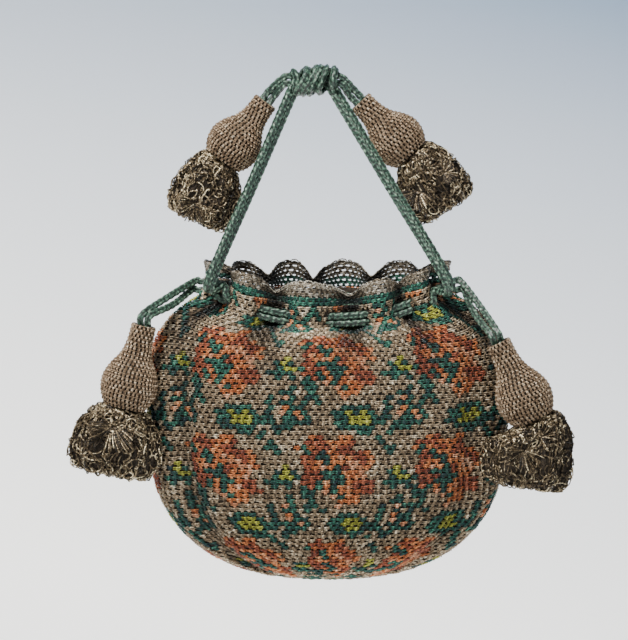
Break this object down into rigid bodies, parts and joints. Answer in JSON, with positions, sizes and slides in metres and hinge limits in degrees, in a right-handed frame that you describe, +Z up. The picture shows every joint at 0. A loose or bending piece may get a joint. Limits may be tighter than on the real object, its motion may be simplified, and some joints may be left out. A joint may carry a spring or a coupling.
{
  "type": "drawstring pouch",
  "caption": "Soft crocheted pouch with a gathered mouth, closed and carried by doubled silk drawstrings tied in a knot, with looped metal-thread tassels.",
  "frame": {"origin": "the underside of the knot, where a finger or a hook carries the pouch", "axes": "+Z up, +X to the right of someone who looks at the front, +Y from the front to the back"},
  "size_m": [0.224, 0.0663, 0.2317],
  "materials": {
    "crochet": "tapestry crochet in taupe metal thread with teal, peach, orange, rust and yellow-green silk",
    "taupe_crochet": "close crochet in taupe metal thread",
    "metal_lace": "loops and net of tarnished metal thread with pale glints",
    "silk_cord": "braided sea-green silk with a soft sheen"
  },
  "bodies": {
    "root": {"bag": "crochet", "scallop_edging": "metal_lace", "drawstring_left": "silk_cord", "drawstring_right": "silk_cord", "knot": "silk_cord", "tassel_cap_upper_left": "taupe_crochet", "tassel_cap_upper_right": "taupe_crochet", "tassel_cap_lower_left": "taupe_crochet", "tassel_cap_lower_right": "taupe_crochet", "tassel_skirt_upper_left": "metal_lace", "tassel_skirt_upper_right": "metal_lace", "tassel_skirt_lower_left": "metal_lace", "tassel_skirt_lower_right": "metal_lace", "tassel_cord_lower_left_1": "silk_cord", "tassel_cord_lower_left_2": "silk_cord", "tassel_cord_lower_right_1": "silk_cord", "tassel_cord_lower_right_2": "silk_cord"}
  },
  "joints": []
}
